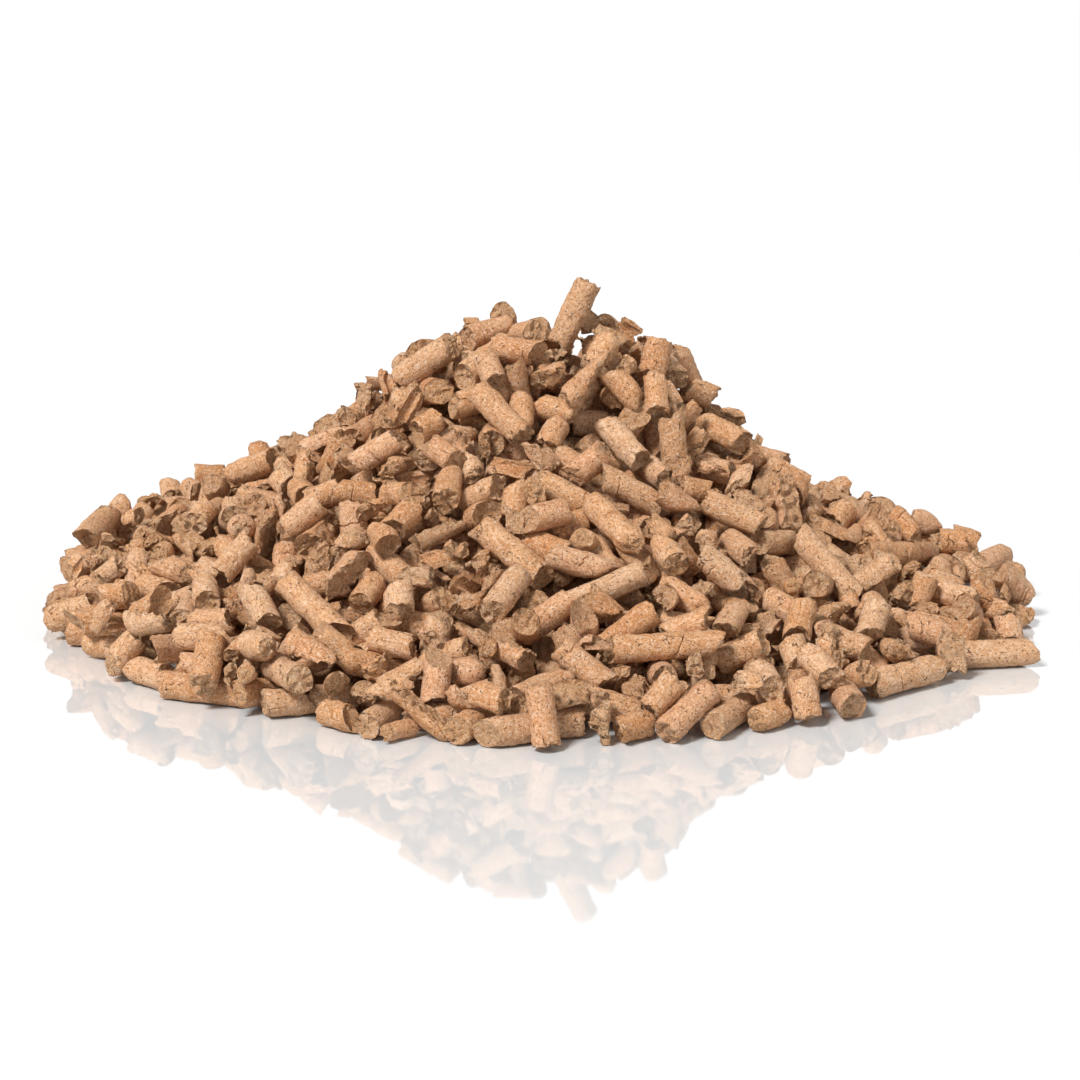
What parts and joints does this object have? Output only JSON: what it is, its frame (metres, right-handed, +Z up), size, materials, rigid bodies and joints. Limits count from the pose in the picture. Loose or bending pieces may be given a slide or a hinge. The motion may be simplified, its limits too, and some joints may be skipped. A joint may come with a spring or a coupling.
{
  "type": "heap of wood pellet cat litter",
  "caption": "Loose heap of short pressed-wood cat litter pellets, poured on a flat surface, steep in the middle with a spread foot of single pellets.",
  "frame": {"origin": "middle of the heap's footprint, on the surface that it lies on", "axes": "+Z up, +X towards the heap's steeper side, -Y towards the viewer"},
  "size_m": [0.2106, 0.2114, 0.0711],
  "materials": {
    "pressed_wood": "matt, rough and fibrous, with dark specks"
  },
  "bodies": {
    "root": {"heap_body": "pressed_wood", "rim_pellet_01": "pressed_wood", "rim_pellet_02": "pressed_wood", "rim_pellet_03": "pressed_wood", "rim_pellet_04": "pressed_wood", "rim_pellet_05": "pressed_wood", "rim_pellet_06": "pressed_wood", "rim_pellet_07": "pressed_wood", "rim_pellet_08": "pressed_wood", "rim_pellet_09": "pressed_wood", "rim_pellet_10": "pressed_wood", "rim_pellet_11": "pressed_wood", "rim_pellet_12": "pressed_wood", "rim_pellet_13": "pressed_wood", "rim_pellet_14": "pressed_wood", "rim_pellet_15": "pressed_wood", "rim_pellet_16": "pressed_wood", "rim_pellet_17": "pressed_wood", "rim_pellet_18": "pressed_wood", "rim_pellet_19": "pressed_wood", "rim_pellet_20": "pressed_wood", "rim_pellet_21": "pressed_wood", "rim_pellet_22": "pressed_wood", "rim_pellet_23": "pressed_wood", "rim_pellet_24": "pressed_wood", "rim_pellet_25": "pressed_wood", "rim_pellet_26": "pressed_wood", "rim_pellet_27": "pressed_wood", "rim_pellet_28": "pressed_wood", "rim_pellet_29": "pressed_wood", "rim_pellet_30": "pressed_wood", "rim_pellet_31": "pressed_wood", "rim_pellet_32": "pressed_wood", "rim_pellet_33": "pressed_wood", "rim_pellet_34": "pressed_wood", "rim_pellet_35": "pressed_wood", "rim_pellet_36": "pressed_wood", "rim_pellet_37": "pressed_wood", "rim_pellet_38": "pressed_wood", "rim_pellet_39": "pressed_wood", "rim_pellet_40": "pressed_wood", "rim_pellet_41": "pressed_wood", "rim_pellet_42": "pressed_wood"}
  },
  "joints": []
}
